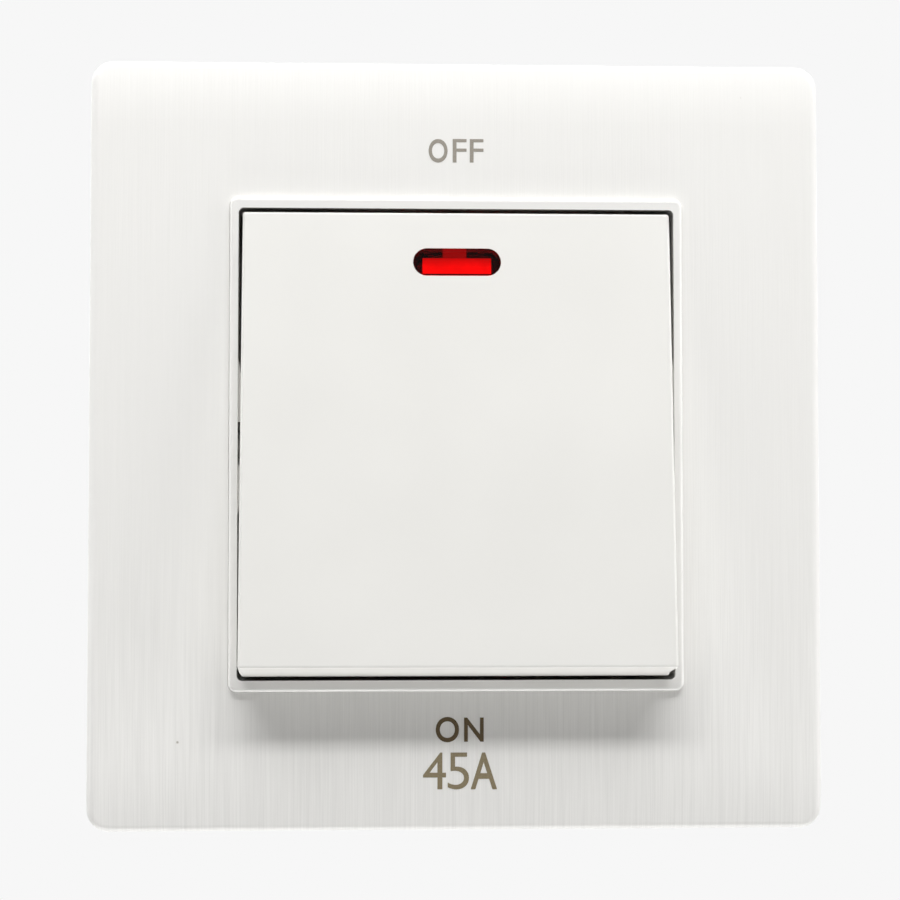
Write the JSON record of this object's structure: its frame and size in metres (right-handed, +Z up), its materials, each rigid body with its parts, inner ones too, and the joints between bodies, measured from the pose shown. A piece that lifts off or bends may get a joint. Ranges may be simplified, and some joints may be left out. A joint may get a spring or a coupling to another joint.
{
  "type": "air conditioner switch",
  "caption": "Square wall switch for an air conditioner: brushed front plate, glossy surround, large tilting rocker with a red neon window, and a double-pole mechanism behind.",
  "frame": {"origin": "middle of the wall plane, which is the back of the mounting flange", "axes": "+Z up, +X to the right as seen from the room, -Y towards the room, +Y into the wall"},
  "size_m": [0.086, 0.0366, 0.0904],
  "materials": {
    "plate_white": "fine brushed hairlines, satin",
    "surround_white": "gloss",
    "rocker_white": "gloss",
    "red_lens": "clear red",
    "base_grey": "moulded",
    "cover_nylon": "moulded",
    "plunger_nylon": "moulded",
    "plated_steel": "zinc plated",
    "spring_steel": "drawn",
    "copper": "rolled copper",
    "silver": "satin silver",
    "brass": "machined",
    "lamp_glass": "clear",
    "resistor_body": "lacquered",
    "tinned_wire": "tinned"
  },
  "bodies": {
    "housing": {"front_plate": "plate_white", "mounting_frame": "surround_white", "mechanism_base": "base_grey", "mechanism_cover": "cover_nylon", "terminal_screws": "plated_steel", "housing_screws": "plated_steel", "neon_lamp": "lamp_glass", "neon_resistor": "resistor_body", "neon_leads": "tinned_wire", "live_fixed_contact": "silver", "live_supply_strip": "copper", "live_load_strip": "copper", "live_supply_terminal": "brass", "live_load_terminal": "brass", "neutral_fixed_contact": "silver", "neutral_supply_strip": "copper", "neutral_load_strip": "copper", "neutral_supply_terminal": "brass", "neutral_load_terminal": "brass"},
    "rocker": {"rocker": "rocker_white", "indicator_lens": "red_lens", "live_plunger_spring": "spring_steel", "neutral_plunger_spring": "spring_steel"},
    "live_arm": {"live_contact_arm": "copper", "live_moving_contact": "silver"},
    "neutral_arm": {"neutral_contact_arm": "copper", "neutral_moving_contact": "silver"},
    "live_plunger": {"live_plunger": "plunger_nylon"},
    "neutral_plunger": {"neutral_plunger": "plunger_nylon"}
  },
  "joints": [
    {"name": "rocker_pivot", "type": "hinge", "parent": "housing", "child": "rocker", "pos_m": [0, -0.0048, 0], "axis": [1, 0, 0], "range_deg": [0, 12]},
    {"name": "live_arm_rock", "type": "hinge", "parent": "housing", "child": "live_arm", "pos_m": [0.0128, 0.0097, 0], "axis": [1, 0, 0], "range_deg": [-16, 0]},
    {"name": "live_plunger_slide", "type": "slide", "parent": "rocker", "child": "live_plunger", "axis": [0, -0.9945, 0.1045], "range_m": [0, 0.0012], "stiffness_N_per_m": 400, "springref_m": -0.004, "deforming": ["live_plunger_spring"]},
    {"name": "neutral_arm_rock", "type": "hinge", "parent": "housing", "child": "neutral_arm", "pos_m": [-0.0128, 0.0097, 0], "axis": [1, 0, 0], "range_deg": [-16, 0]},
    {"name": "neutral_plunger_slide", "type": "slide", "parent": "rocker", "child": "neutral_plunger", "axis": [0, -0.9945, 0.1045], "range_m": [0, 0.0012], "stiffness_N_per_m": 400, "springref_m": -0.004, "deforming": ["neutral_plunger_spring"]}
  ],
  "couplings": [
    {"joint": "live_arm_rock", "follows": "rocker_pivot", "ratio": -1.3333},
    {"joint": "neutral_arm_rock", "follows": "rocker_pivot", "ratio": -1.3333}
  ]
}
